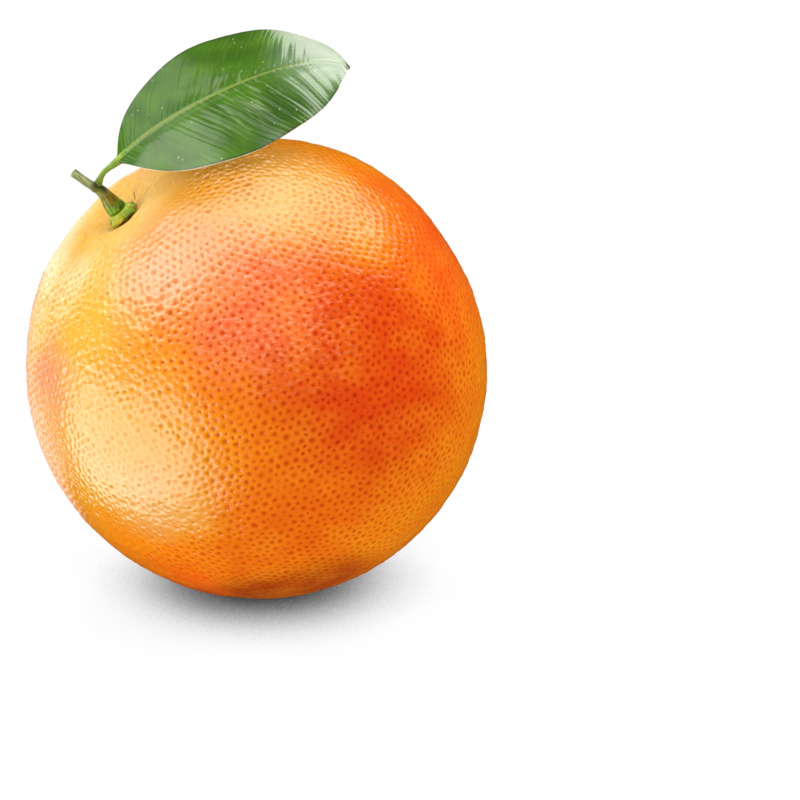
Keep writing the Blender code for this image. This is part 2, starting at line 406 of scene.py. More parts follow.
def line_mark(tree, place, start, end, reach):
    """The mask of one soft line."""
    inputs = {"Place": place, "Start": start, "End": end, "Reach": reach}
    return add_node(tree, "ShaderNodeGroup", inputs, node_tree=soft_line).outputs["Mask"]


def from_centre(x, y, z):
    """A point given in millimetres from the fruit's centre."""
    return FRUIT_CENTRE + Vector((x, y, z)) * MM


def along_stem_axis(distance):
    return FRUIT_CENTRE + STEM_AXIS * distance


RIND_ORANGE = (0.92, 0.240, 0.002)
# Where the rind's colour differs: middle from the fruit's centre and reach in millimetres,
# softness, colour, and how dark its pits are. Rows marked below are painted shade.
RIND_PATCHES = (
    ((12, 48, 22), 40, 0.7, (0.88, 0.36, 0.020), 0.8),
    ((-34, -14, 42), 24, 0.6, (0.83, 0.57, 0.180), 0.45),
    ((-45, -26, 22), 20, 0.6, (0.84, 0.49, 0.035), 0.8),
    ((-36, 30, 32), 30, 0.6, (0.86, 0.50, 0.060), 0.5),
    ((-35, -43, -10), 26, 0.6, (0.86, 0.38, 0.018), 0.7),
    ((0, -24, 50), 20, 0.6, (0.80, 0.39, 0.066), 0.7),
    ((24, -44, 14), 28, 0.6, (0.69, 0.052, 0.001), 1.0),
    ((42, -10, 34), 20, 0.6, (0.90, 0.110, 0.006), 0.7),
    ((-3, -46, 30), 14, 0.7, (0.88, 0.150, 0.050), 1.0),
    ((-18, -37, 38), 13, 0.7, (0.78, 0.29, 0.090), 0.9),
    ((-49, -26, 7), 9, 0.8, (0.88, 0.30, 0.110), 0.6),
    # Painted shadow of the leaf on the rind beneath it.
    ((-7, -19, 52), 12, 0.8, (0.60, 0.25, 0.010), 1.0),
    ((-24, -38, -34), 16, 0.6, (1.00, 0.26, 0.001), 0.5),
    ((-50, -24, -6), 9, 0.8, (0.88, 0.43, 0.130), 0.6),
    ((7, -51, -20), 16, 0.6, (0.86, 0.150, 0.001), 1.0),
    ((-7, -46, -31), 8, 0.7, (0.88, 0.170, 0.001), 0.9),
    # Darker red underneath: partly the rind's own tone and partly painted contact shade.
    ((0, 0, -56), 40, 0.35, (0.62, 0.085, 0.001), 0.9),
    ((-17, -36, -39), 10, 0.7, (1.00, 0.155, 0.001), 0.9),
    # Painted contact shade at the front of the bottom, where the fruit meets the floor.
    ((-1, -35, -44), 9, 0.7, (0.40, 0.042, 0.001), 0.9),
    ((15, -34, -43), 10, 0.8, (0.44, 0.050, 0.001), 0.9),
    ((-25, -47, -15), 9, 0.8, (0.87, 0.43, 0.100), 0.6),
    ((-43, -18, 29), 10, 0.8, (0.84, 0.42, 0.060), 0.6),
    ((22, -26, 44), 10, 0.7, (0.84, 0.26, 0.006), 0.7),
)
# Where pink flecks lie between the pits (partly own tone, partly painted glints off the ridges),
# where the rind is dry, dull and finely wrinkled, and where its fine relief is weaker: middle,
# reach, softness, unevenness.
FLECK_GLINT_ZONE = (from_centre(0, -44, 31), 19 * MM)
DRY = (along_stem_axis(54 * MM), 15 * MM, 0.5, 5 * MM)
CALM = (from_centre(-43, -31, -16), 18 * MM)
# These multiply the rind's colour: at the bottom of a pit and at the bottom of one in pale rind,
# where the darker tone is partly the glands' own and partly painted shade in the pits, and on the
# net between the pits, where it is a painted highlight.
PIT_TONE_AND_SHADE = (0.80, 0.46, 0.06)
PALE_PIT_TONE_AND_SHADE = (0.68, 0.74, 0.52)
RIDGE_HIGHLIGHT_TINT = (1.06, 1.24, 1.60)
FLECK_SQUEEZE = (1.0, 1.0, 2.2)  # the fine relief is finer up and down
PALE_GREEN = (0.22, 0.36)  # the rind is pale from the first up to the second share of green
MOTTLE_ORANGE = (0.93, 0.30, 0.006)
GRAIN_RED = (0.62, 0.10, 0.004)
FLECK_GLINT_PINK = (0.94, 0.42, 0.22)
DRY_PINK = (0.86, 0.43, 0.22)
WRINKLE_BROWN = (0.74, 0.26, 0.03)

# Painted shade in the creases where the rind folds in against the calyx: start and end from the
# fruit's centre, and reach, in millimetres, and strength.
CREASE_SHADE_LINES = (
    ((-32.1, -14.6, 39.3), (-30.3, -13.0, 40.4), 0.56, 0.95),
    ((-30.3, -13.0, 40.4), (-28.7, -12.6, 41.8), 0.85, 0.95),
    ((-28.7, -12.6, 41.8), (-28.1, -12.0, 42.6), 0.42, 0.9),
    ((-28.3, -3.3, 45.5), (-28.0, -5.2, 44.3), 0.30, 0.6),
)
CREASE_SHADE_BROWN = (0.10, 0.030, 0.004)


# Paints shade along the creases between the rind and the calyx.
def lay_crease_shade(tree, colour, place, widening=1.0):
    for start, end, reach, strength in CREASE_SHADE_LINES:
        reach *= widening * MM
        crease_shade = line_mark(tree, place, from_centre(*start), from_centre(*end), reach)
        colour = lay(tree, colour, crease_shade, strength, CREASE_SHADE_BROWN)
    return colour


def make_rind_material():
    finish, tree, shader = new_material("rind")
    place = object_place(tree)
    colour = RIND_ORANGE
    darkness = 1.0
    for centre, reach, softness, patch_colour, patch_darkness in RIND_PATCHES:
        mask = patch(tree, place, from_centre(*centre), reach * MM, softness)
        colour = blend(tree, mask, colour, patch_colour)
        inputs = {0: mask, 2: darkness, 3: patch_darkness}
        darkness = add_node(tree, "ShaderNodeMix", inputs, data_type="FLOAT").outputs[0]
    mottle = grain(tree, place, 9 * MM, detail=4.0)
    blotched = step_between(tree, mottle, 0.35, 0.75, at_high=0.30)
    colour = blend(tree, blotched, colour, MOTTLE_ORANGE)
    fine = grain(tree, place, 0.5 * MM)
    colour = blend(tree, step_between(tree, fine, 0.3, 0.8, at_high=0.14), colour, GRAIN_RED)
    green = add_node(tree, "ShaderNodeSeparateColor", {0: colour}).outputs["Green"]
    pale = step_between(tree, green, *PALE_GREEN)
    # The dark of a pit, partly painted shade, starts further in where the rind is pale.
    rim_start = multiply_add(tree, pale, 0.30, 0.06)
    rim_end = multiply_add(tree, pale, 0.20, 0.75)
    depth = step_between(tree, attribute(tree, "pit"), rim_start, rim_end)
    # Painted highlight on the net between the pits, weaker where the rind is pale.
    ridge_highlight = multiply(tree, attribute(tree, "ridge_highlight"), step_between(tree, mottle, 0.3, 0.6))
    colour = lay(tree, colour, ridge_highlight, multiply_add(tree, pale, -0.7, 1.0), RIDGE_HIGHLIGHT_TINT, "MULTIPLY")
    inputs = {"Vector": place, "Scale": FLECK_SQUEEZE}
    flecks = grain(tree, add_node(tree, "ShaderNodeMapping", inputs).outputs[0], 1.5 * MM)
    # Pink flecks between the pits: partly the rind's own tone and partly painted glints off the
    # ridges.
    glint_zone = patch(tree, place, *FLECK_GLINT_ZONE)
    glint_flecked = step_between(tree, flecks, 0.50, 0.66, at_high=0.45)
    colour = lay(tree, colour, glint_zone, glint_flecked, FLECK_GLINT_PINK)
    pit_tone_and_shade = blend(tree, pale, PIT_TONE_AND_SHADE, PALE_PIT_TONE_AND_SHADE)
    # Darkens the pits: partly the glands' own tone and partly painted shade in the pits.
    colour = lay(tree, colour, depth, darkness, pit_tone_and_shade, "MULTIPLY")
    dry = patch(tree, place, *DRY)
    wrinkle = grain(tree, place, 1.5 * MM, detail=3.0, roughness=0.6)
    blotch = grain(tree, place, 3.0 * MM, detail=3.0)
    colour = lay(tree, colour, dry, step_between(tree, blotch, 0.48, 0.66, at_high=0.45), DRY_PINK)
    streak = step_between(tree, wrinkle, 0.45, 0.7, at_high=0.45)
    colour = lay(tree, colour, dry, streak, WRINKLE_BROWN)
    # Painted shade in the creases against the calyx.
    colour = lay_crease_shade(tree, colour, place)
    wax = multiply_add(tree, dry, -0.95, 0.95)
    roughness = step_between(tree, fine, 0.3, 0.8, 0.36, 0.46)
    fill_inputs(tree, shader, {
        "Base Color": colour,
        "Roughness": multiply_add(tree, dry, 0.16, roughness),
        "Specular IOR Level": 0.0,
        "Coat Weight": multiply(tree, wax, multiply_add(tree, depth, -0.5, 1.0)),
        "Coat Roughness": 0.14,
        "Subsurface Weight": 0.12,
        "Subsurface Radius": (1.0, 0.35, 0.08),
        "Subsurface Scale": 1.2 * MM,
    })
    pores = grain(tree, place, 1.0 * MM, detail=4.0, roughness=0.55)
    height = multiply_add(tree, multiply(tree, wrinkle, dry), 1.8, pores)
    height = multiply_add(tree, flecks, 0.9, height)
    calm = patch(tree, place, *CALM)
    height = multiply(tree, height, multiply_add(tree, calm, -0.6, 1.0))
    roughen(tree, shader, height, 0.7, 0.16 * MM, coated=True)
    return finish


fruit.data.materials.clear()
fruit.data.materials.append(make_rind_material())
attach(fruit, "root")
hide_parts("fruit")

# The calyx: the green button left of the flower's five sepals, fleshy and uneven. It sits in the
# fruit's hollow, with a raised flat seat in the middle where the stem stands.

GAP = 0.3 * MM
CALYX_LOBE_RADII = (5.4 * MM, 4.5 * MM, 4.5 * MM, 4.4 * MM, 3.8 * MM)
CALYX_TURN = math.radians(-26)
CALYX_NOTCH_RADIUS = 3.5 * MM
LOBE_POINT = 1.1  # the higher, the more pointed the lobes
CALYX_SEAT_RADIUS = 2.5 * MM
CALYX_SEAT_HEIGHT = 54.1 * MM
CALYX_EDGE = 0.9 * MM
CALYX_RIM_SHARE = 0.35  # of that thickness at the very rim
CALYX_RIM_STEEPNESS = 3  # how fast it grows from there
LOBE_SWELL = 0.35 * MM  # how far the middle of a lobe stands above its sides
CALYX_LUMP_HEIGHT = 0.16 * MM
CALYX_LUMP_LENGTH = 1.1 * MM
STEM_FOOT = along_stem_axis(CALYX_SEAT_HEIGHT + GAP)


def calyx_place(turn):
    """Counts round the lobes: whole numbers are the middles of lobes, halves are notches."""
    return (turn - CALYX_TURN) * len(CALYX_LOBE_RADII) / (2 * math.pi)


def calyx_outline(turn):
    place = calyx_place(turn)
    lobe_length = CALYX_LOBE_RADII[round(place) % len(CALYX_LOBE_RADII)] - CALYX_NOTCH_RADIUS
    return CALYX_NOTCH_RADIUS + lobe_length * abs(math.cos(math.pi * place)) ** LOBE_POINT


deselect_all()
bpy.ops.mesh.primitive_uv_sphere_add(segments=120, ring_count=44, radius=1.0)
calyx = bpy.context.object
calyx.name = "calyx_button"
notch_marks = [0.0] * len(calyx.data.vertices)
for vertex in calyx.data.vertices:
    side = vertex.co.z  # 1 on top, 0 at the edge, -1 below
    turn = math.atan2(vertex.co.y, vertex.co.x)
    outline = calyx_outline(turn)
    out = math.hypot(vertex.co.x, vertex.co.y) * outline
    angle = out / POLE_RADIUS
    skin = fruit_radius(angle, turn) + GAP
    if side > -0.01:
        slope = smooth_step(out, CALYX_SEAT_RADIUS, outline)
        seat = CALYX_SEAT_HEIGHT / math.cos(angle)
        rise = CALYX_RIM_STEEPNESS * side
        thickness = CALYX_EDGE * min(1.0, CALYX_RIM_SHARE + rise)
        lobe = abs(math.cos(math.pi * calyx_place(turn))) ** 0.7
        thickness += LOBE_SWELL * (lobe - 0.6) * slope * min(1.0, rise)
        skin = seat + (skin + thickness - seat) * slope
        lump = noise.noise(fruit_direction(angle, turn) * (POLE_RADIUS / CALYX_LUMP_LENGTH))
        skin += CALYX_LUMP_HEIGHT * slope * lump
        # Marks where painted shade goes, in the notches between the lobes.
        notch_marks[vertex.index] = slope * (1 - lobe)
    vertex.co = FRUIT_CENTRE + fruit_direction(angle, turn) * skin
mark_points(calyx, "notch_shade", notch_marks)
calyx.data.shade_smooth()

CALYX_GREEN = (0.14, 0.25, 0.006)
CALYX_YELLOW = (0.52, 0.50, 0.020)
NOTCH_SHADE_BROWN = (0.10, 0.07, 0.01)
FLECK_BROWN = (0.16, 0.10, 0.02)
# A yellow lobe and the collar round the stem: middle, reach, softness, how uneven the border is,
# colour, strength.
CALYX_PATCHES = (
    (from_centre(-31.9, -14.2, 41.0), 2.0 * MM, 0.6, 1.0 * MM, (0.44, 0.36, 0.008), 0.8),
    (STEM_FOOT, 3.2 * MM, 0.2, 0.6 * MM, (0.46, 0.58, 0.050), 0.6),
)


def make_calyx_material():
    finish, tree, shader = new_material("calyx green")
    place = object_place(tree)
    cloud = grain(tree, place, 2.2 * MM, detail=3.0)
    colour = blend(tree, step_between(tree, cloud, 0.38, 0.66), CALYX_GREEN, CALYX_YELLOW)
    for centre, reach, softness, unevenness, patch_colour, strength in CALYX_PATCHES:
        mask = patch(tree, place, centre, reach, softness, unevenness)
        colour = lay(tree, colour, mask, strength, patch_colour)
    # Painted shade in the notches between the lobes.
    notch_shade = step_between(tree, attribute(tree, "notch_shade"), 0.3, 0.95)
    colour = blend(tree, notch_shade, colour, NOTCH_SHADE_BROWN)
    fleck = grain(tree, place, 0.5 * MM)
    colour = blend(tree, step_between(tree, fleck, 0.60, 0.72, at_high=0.5), colour, FLECK_BROWN)
    # The same painted crease shade, a little wider, on the calyx.
    colour = lay_crease_shade(tree, colour, place, widening=1.1)
    fill_inputs(tree, shader, {"Base Color": colour, "Roughness": 0.42, "Specular IOR Level": 0.2})
    roughen(tree, shader, fleck, 0.4, 0.10 * MM)
    return finish


calyx.data.materials.append(make_calyx_material())
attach(calyx, "root")
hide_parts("calyx")

# The stub of twig: woody and green, ridged lengthwise. It flares to a round foot on the calyx,
# thickens where the leaf's stalk leaves it, bends there, and ends in a dry pruning cut.

# Middle line, and radius in millimetres, from the foot to the cut end.
STEM_STATIONS = (
    (STEM_FOOT, 2.30),
    (along_stem_axis(54.9 * MM), 2.42),
    (along_stem_axis(55.8 * MM), 2.12),
    (from_centre(-34.5, -10.1, 46.4), 1.50),
    (from_centre(-36.1, -10.6, 48.1), 1.18),
    (from_centre(-37.0, -10.9, 48.7), 1.12),
    (from_centre(-38.2, -11.2, 49.5), 0.96),
    (from_centre(-39.9, -11.6, 50.9), 0.92),
    (from_centre(-41.6, -11.9, 52.3), 0.97),
)
CUT_DISH = 0.15 * MM  # the cut end is sunk this much in its middle
END_RINGS = 3
END_RING_WIDTH = 0.22  # as a share of the radius
STEPS = 8  # stations on the way from one to the next


def smooth_stations(stations):
    """More stations on a smooth line through the given ones."""
    found = []
    last = len(stations) - 1
    for i in range(last):
        around = [stations[min(max(i + k, 0), last)] for k in (-1, 0, 1, 2)]
        for step in range(STEPS):
            t = step / STEPS
            weights = (
                (-t + 2 * t**2 - t**3) / 2,
                (2 - 5 * t**2 + 3 * t**3) / 2,
                (t + 4 * t**2 - 3 * t**3) / 2,
                (-(t**2) + t**3) / 2,
            )
            place = sum((w * point for w, (point, _) in zip(weights, around)), Vector())
            found.append((place, sum(w * radius for w, (_, radius) in zip(weights, around))))
    found.append(stations[last])
    return found


def ring_ends(rod):
    """Rings the two end faces, so that they can be dished."""
    bpy.ops.mesh.select_mode(type="FACE")
    bpy.ops.mesh.select_all(action="DESELECT")
    close_edit()
    for face in rod.data.polygons:
        face.select = abs(face.normal.z) > 0.9
    bpy.ops.object.mode_set(mode="EDIT")
    for _ in range(END_RINGS):
        bpy.ops.mesh.inset(thickness=END_RING_WIDTH, depth=0.0)
    close_edit()


def add_rod(name, stations, sides, relief, dish=0.0):
    """A cylinder led along the stations. relief(share, turn) is how far its bark stands out, as a
    share of its radius, and dish is how deep its far end is sunk."""
    route = smooth_stations(stations)
    deselect_all()
    bpy.ops.mesh.primitive_cylinder_add(vertices=sides, radius=1.0, depth=1.0, end_fill_type="NGON")
    rod = bpy.context.object
    rod.name = name
    edit(rod, "EDGE", "DESELECT")
    close_edit()
    for edge in rod.data.edges:
        ends = [rod.data.vertices[index].co.z for index in edge.vertices]
        edge.select = abs(ends[0] - ends[1]) > 0.5
    bpy.ops.object.mode_set(mode="EDIT")
    bpy.ops.mesh.subdivide(number_cuts=len(route) - 2)
    ring_ends(rod)
    along = [(b[0] - a[0]).normalized() for a, b in zip(route, route[1:])]
    along.append(along[-1])
    sideways = [along[0].orthogonal().normalized()]
    for direction in along[1:]:
        moved = sideways[-1] - direction * sideways[-1].dot(direction)
        sideways.append(moved.normalized())
    for vertex in rod.data.vertices:
        share = vertex.co.z + 0.5
        ring = round(share * (len(route) - 1))
        middle, radius = route[ring]
        turn = math.atan2(vertex.co.y, vertex.co.x)
        out = math.hypot(vertex.co.x, vertex.co.y)
        other = along[ring].cross(sideways[ring])
        spoke = sideways[ring] * math.cos(turn) + other * math.sin(turn)
        sunk = dish * (1 - out * out) if ring == len(route) - 1 else 0.0
        out *= radius * MM * (1 + relief(share, turn))
        vertex.co = middle + spoke * out - along[ring] * sunk
    rod.data.shade_smooth()
    return rod


KNOT_HEIGHT = 0.16  # as a share of the radius
KNOT_PLACE = 0.575
KNOT_SPREAD = 0.035
KNOT_TURN = 2.6


def bark_relief(share, turn):
    """Two sets of ridges, lumps, and the knot that the leaf's stalk leaves from."""
    ridges = 0.045 * math.cos(7 * turn + 2.2 * math.sin(3 * share))
    ridges += 0.03 * math.cos(12 * turn + 1.3)
    lumps = 0.09 * noise.noise(Vector((1.3 * math.cos(turn), 1.3 * math.sin(turn), 9 * share)))
    knot = KNOT_HEIGHT * bell(share - KNOT_PLACE, KNOT_SPREAD)
    knot *= max(0.0, math.cos(turn - KNOT_TURN))
    return (ridges + lumps) * smooth_step(share, 0.08, 0.25) + knot


stem = add_rod("twig_stub", STEM_STATIONS, sides=56, relief=bark_relief, dish=CUT_DISH)
stem.data.set_sharp_from_angle(angle=math.radians(55))

# Where the bark's colour differs: middle, reach in millimetres, softness, colour, strength.
STEM_PATCHES = (
    (from_centre(-40.2, -11.8, 51.2), 3.8, 0.4, (0.36, 0.42, 0.20), 0.9),
    (from_centre(-40.0, -10.6, 52.8), 1.7, 0.5, (0.07, 0.085, 0.020), 0.75),
    (from_centre(-34.9, -12.2, 45.5), 1.2, 0.6, (0.36, 0.37, 0.06), 0.85),
    (from_centre(-36.0, -12.1, 47.4), 1.1, 0.6, (0.30, 0.31, 0.06), 0.8),
    (from_centre(-32.9, -10.8, 46.3), 1.9, 0.6, (0.210, 0.145, 0.003), 0.95),
    (from_centre(-31.6, -10.8, 45.2), 1.6, 0.4, (0.170, 0.115, 0.002), 0.95),
    (STEM_FOOT, 2.7, 0.15, (0.21, 0.39, 0.006), 0.9),
    (from_centre(-30.4, -10.7, 44.2), 1.5, 0.5, (0.035, 0.085, 0.003), 0.9),
    # Painted shade where the leaf's stalk leaves the stem.
    (from_centre(-36.0, -11.0, 49.3), 1.5, 0.5, (0.030, 0.035, 0.003), 0.95),
    (from_centre(-34.9, -10.6, 48.0), 1.1, 0.6, (0.040, 0.040, 0.003), 0.9),
    (from_centre(-38.0, -11.0, 50.8), 1.0, 0.6, (0.060, 0.070, 0.010), 0.7),
    (from_centre(-42.0, -12.0, 52.6), 0.7, 0.6, (0.130, 0.130, 0.080), 0.8),
)
BARK_BORDER = 0.6 * MM  # how uneven the borders of these are
DARK_BARK = (0.12, 0.13, 0.02)
GREEN_BARK = (0.28, 0.36, 0.07)
STREAK_TINT = (0.52, 0.46, 0.34)  # multiplies the bark's colour in fine streaks
STREAK_STRETCH = (1, 1, 5)  # along the stem's axis


def make_bark_material():
    finish, tree, shader = new_material("green bark")
    place = object_place(tree)
    turned = STEM_AXIS.to_track_quat("Z", "Y").to_euler()
    inputs = {"Vector": place, "Rotation": turned, "Scale": STREAK_STRETCH}
    streak_place = add_node(tree, "ShaderNodeMapping", inputs, vector_type="TEXTURE").outputs[0]
    cloud = grain(tree, place, 2.0 * MM, detail=3.0)
    colour = blend(tree, step_between(tree, cloud, 0.35, 0.65), DARK_BARK, GREEN_BARK)
    for centre, reach, softness, patch_colour, strength in STEM_PATCHES:
        mask = patch(tree, place, centre, reach * MM, softness, BARK_BORDER)
        colour = lay(tree, colour, mask, strength, patch_colour)
    fine = grain(tree, streak_place, 0.5 * MM, detail=3.0)
    streak = step_between(tree, fine, 0.42, 0.62, at_high=0.8)
    colour = blend(tree, streak, colour, STREAK_TINT, "MULTIPLY")
    fill_inputs(tree, shader, {"Base Color": colour, "Roughness": 0.5, "Specular IOR Level": 0.15})
    roughen(tree, shader, fine, 0.7, 0.14 * MM)
    return finish


stem.data.materials.append(make_bark_material())
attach(stem, "root")
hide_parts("stem")

# The leaf: one stiff glossy blade with a sunken midrib and side veins that quilt it. Its two
# halves droop, and its margin is a fine dark line. It is one blade on a short stalk.

MIDRIB = (
    from_centre(-31.4, -11.4, 55.1),
    from_centre(-22.0, -13.0, 66.5),
    from_centre(17.0, -1.6, 81.7),
    from_centre(22.5, 1.7, 73.0),
)
ACROSS_AT_BASE = Vector((0.30, -0.59, -0.75))
ACROSS_AT_TIP = Vector((0.42, -0.80, -0.43))
# A half's greatest width, and how gently it widens from the base and narrows to the tip.
LOWER_HALF = (16.9 * MM, 0.82, 0.89)
UPPER_HALF = (17.3 * MM, 0.98, 0.95)
DROOP = math.radians(10)
EDGE_CURL = 0.6 * MM
GROOVE_DEPTH = 0.5 * MM
GROOVE_SPREAD = 1.6 * MM
WAVE_HEIGHT = 0.3 * MM
WAVES = 3.5
TIP_LIFT = 1.1 * MM  # how far the upper half's edge turns up close to the tip
TIP_LIFT_PLACE = 0.91
TIP_LIFT_SPREAD = 0.11
BASE_HALF_WIDTH = 1.0 * MM
TIP_HALF_WIDTH = 0.35 * MM
BASE_REACH = 0.05
LEAF_LENGTH = 61.6 * MM
BLADE_THICKNESS = 0.38 * MM
RIB_THICKNESS = 1.3 * MM
RIB_SPREAD = 0.9 * MM
RIB_RISE = 0.14 * MM
VEIN_DISTANCE = 3.9 * MM
VEIN_LEAN = 0.44  # a vein runs this much towards the tip for each step out
VEIN_BEND = 7.0  # and bends on towards it, per metre
QUILT_HEIGHT = 0.15 * MM
CROWDING = 1.35  # above 1 the mesh is finer towards the midrib


def midrib_point(t):
    weights = ((1 - t) ** 3, 3 * t * (1 - t) ** 2, 3 * t * t * (1 - t), t**3)
    return sum((w * point for w, point in zip(weights, MIDRIB)), Vector())


def leaf_axes(t):
    """Along the midrib, across it to the lower half, and up out of the blade."""
    weights = (-((1 - t) ** 2), (1 - t) * (1 - 3 * t), t * (2 - 3 * t), t**2)
    along = sum((w * point for w, point in zip(weights, MIDRIB)), Vector()).normalized()
    across = ACROSS_AT_BASE.normalized().lerp(ACROSS_AT_TIP.normalized(), t)
    across = (across - along * across.dot(along)).normalized()
    return along, across, across.cross(along)


def half_width(t, half):
    widest, grow, fade = half
    peak = grow / (grow + fade)
    width = widest * (t / peak) ** grow * ((1 - t) / (1 - peak)) ** fade
    base = BASE_HALF_WIDTH * max(0.0, 1 - t / BASE_REACH)
    return math.hypot(width, base, TIP_HALF_WIDTH * t)


def leaf_point(t, share):
    """A point of the blade's upper face: share is 1 at the lower half's edge, -1 at the other."""
    _, across, up = leaf_axes(t)
    out = abs(share) * half_width(t, LOWER_HALF if share > 0 else UPPER_HALF)
    rise = GROOVE_DEPTH * math.sin(math.pi * t) * (1 - bell(out, GROOVE_SPREAD))
    rise += RIB_RISE * bell(out, 0.5 * MM)
    rise -= out * math.sin(DROOP) + EDGE_CURL * share**2 * math.sin(math.pi * t)
    rise += WAVE_HEIGHT * share**2 * math.sin(2 * math.pi * WAVES * t + share)
    if share < 0:
        rise += TIP_LIFT * share**2 * bell(t - TIP_LIFT_PLACE, TIP_LIFT_SPREAD)
    vein = t * LEAF_LENGTH - VEIN_LEAN * out - VEIN_BEND * out * out
    side = 0.5 if share < 0 else 0.0
    wander = 0.35 * noise.noise(Vector((70 * t * LEAF_LENGTH, 90 * out, 3 * side)))
    swell = abs(math.sin(math.pi * (vein / VEIN_DISTANCE + side + wander)))
    uneven = 0.75 + 0.9 * noise.noise(Vector((110 * vein, 60 * out, 5 + side)))
    fade = smooth_step(out, 0.6 * MM, 4 * MM) * (1 - 0.7 * share**4)
    rise += QUILT_HEIGHT * uneven * swell * fade
    sideways = math.copysign(out * math.cos(DROOP), share)
    return midrib_point(t) + across * sideways + up * rise, out


deselect_all()
bpy.ops.mesh.primitive_grid_add(x_subdivisions=170, y_subdivisions=64, size=2.0)
leaf = bpy.context.object
leaf.name = "leaf"
leaf_marks = {"along": [], "out": [], "edge": []}
rib = leaf.vertex_groups.new(name="rib")
for vertex in leaf.data.vertices:
    t = (vertex.co.x + 1) / 2
    share = -math.copysign(abs(vertex.co.y) ** CROWDING, vertex.co.y)
    vertex.co, out = leaf_point(t, share)
    leaf_marks["along"].append(t * LEAF_LENGTH)
    leaf_marks["out"].append(math.copysign(out, share))
    leaf_marks["edge"].append(max(abs(share), smooth_step(t, 0.9, 1.0)))
    rib.add([vertex.index], bell(out, RIB_SPREAD), "REPLACE")
for name, values in leaf_marks.items():
    mark_points(leaf, name, values)
thickness = leaf.modifiers.new("thickness", "SOLIDIFY")
thickness.thickness = RIB_THICKNESS
thickness.offset = -1.0
thickness.vertex_group = rib.name
thickness.thickness_vertex_group = BLADE_THICKNESS / RIB_THICKNESS
thickness.material_offset = 1
thickness.material_offset_rim = 0

# Where the leaf has painted shade, painted streaks of sheen and a painted whitish sheen near the
# tip: middle, reach, softness, unevenness.
LEAF_PAINTED_SHADE = (from_centre(7, -13, 65), 7 * MM, 0.7, 4 * MM)
LEAF_SHEEN_STREAKS = (from_centre(-3, -9.5, 68.7), 8 * MM, 0.6, 4 * MM)
LEAF_TIP_SHEEN = (from_centre(15, -1, 76), 8 * MM, 0.8, 3 * MM)
LEAF_DARK_GREEN = (0.058, 0.180, 0.002)
LEAF_GREEN = (0.100, 0.275, 0.005)
FINE_VEIN_GREEN = (0.10, 0.22, 0.03)
VEIN_GREEN = (0.14, 0.27, 0.05)
# The tint of the painted shade on the blade.
PAINTED_SHADE_TINT = (0.60, 0.66, 0.50)  # multiplies the leaf's colour in its dark part
SHEEN_STREAK_GREEN = (0.32, 0.46, 0.17)
TIP_SHEEN_GREEN = (0.42, 0.52, 0.38)
RIB_GREEN = (0.28, 0.41, 0.06)
MARGIN_BROWN = (0.05, 0.055, 0.010)
DOT_GREEN = (0.45, 0.60, 0.25)
VEIN_WANDER = 1.6 * MM
STREAK_SQUEEZE = 0.24  # streaks are about four times as long as wide
DOT_DISTANCE = 1.9 * MM


